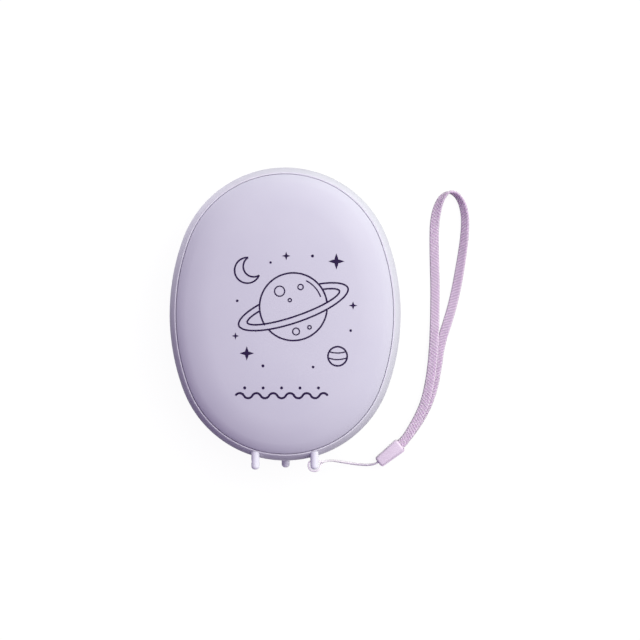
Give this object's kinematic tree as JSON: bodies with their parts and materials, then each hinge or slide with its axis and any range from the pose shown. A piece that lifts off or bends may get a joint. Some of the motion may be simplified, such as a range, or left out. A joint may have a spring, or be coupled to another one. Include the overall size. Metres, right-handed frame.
{
  "type": "rechargeable hand warmer",
  "caption": "Pocket-size oval pebble hand warmer with heated front and back covers, a USB-C port, a power button, peg feet with cord eyes and a wrist strap.",
  "frame": {"origin": "centre of the flat patch on the back, on the surface that the warmer lies on", "axes": "+Z out of the front face, +Y along the long axis towards the port end, +X to the right seen from the front; the feet point to -Y"},
  "size_m": [0.1035, 0.1036, 0.028],
  "materials": {
    "rim": "satin lilac paint on moulded plastic",
    "cover": "satin lilac paint on moulded plastic",
    "heater_film": "printed polyimide film",
    "heat_plate": "rolled sheet",
    "foam": "closed-cell foam",
    "tray": "moulded",
    "cell": "laminated foil pouch",
    "board": "solder mask",
    "black_part": "moulded",
    "port_shell": "plated",
    "coil": "ferrite",
    "connector": "moulded",
    "button": "satin",
    "light_pipe": "frosted",
    "led": "clear resin",
    "lead_red": "wire insulation",
    "lead_black": "wire insulation",
    "lead_white": "wire insulation",
    "screw": "zinc plated",
    "foot": "moulded",
    "string": "twisted polyester cord",
    "strap_clip": "moulded",
    "band": "woven polyester tape"
  },
  "bodies": {
    "case": {"frame": "rim", "front_cover": "cover", "rear_cover": "cover", "front_heater_film": "heater_film", "rear_heater_film": "heater_film", "front_heat_plate": "heat_plate", "rear_heat_plate": "heat_plate", "front_pad": "foam", "rear_pad": "foam", "thermistor_front": "black_part", "thermistor_rear": "black_part", "battery_tray": "tray", "battery_cell": "cell", "protection_board": "board", "main_board": "board", "usb_c_shell": "port_shell", "usb_c_tongue": "black_part", "control_ic": "black_part", "inductor": "coil", "battery_socket": "connector", "heater_socket": "connector", "tact_switch": "black_part", "light_pipe": "light_pipe", "battery_lead_plus": "lead_red", "battery_lead_minus": "lead_black", "heater_lead_front": "lead_white", "heater_lead_rear": "lead_white", "foot_front_left": "foot", "foot_front_right": "foot", "foot_rear": "foot", "strap_string": "string", "strap_clip_upper": "strap_clip", "strap_clip_lower": "strap_clip", "strap_band": "band", "tray_screw_1": "screw", "tray_screw_2": "screw", "tray_screw_3": "screw", "tray_screw_4": "screw", "board_screw_1": "screw", "board_screw_2": "screw", "indicator_led_1": "led", "indicator_led_2": "led", "indicator_led_3": "led", "indicator_led_4": "led"},
    "button": {"power_button": "button"},
    "plunger": {"switch_plunger": "connector"}
  },
  "joints": [
    {"name": "button_press", "type": "slide", "parent": "case", "child": "button", "axis": [0.3502, -0.9367, 0], "range_m": [0, 0.0005], "stiffness_N_per_m": 800},
    {"name": "plunger_press", "type": "slide", "parent": "case", "child": "plunger", "axis": [0.3502, -0.9367, 0], "range_m": [0, 0.0005]}
  ],
  "couplings": [
    {"joint": "plunger_press", "follows": "button_press", "ratio": 1}
  ]
}
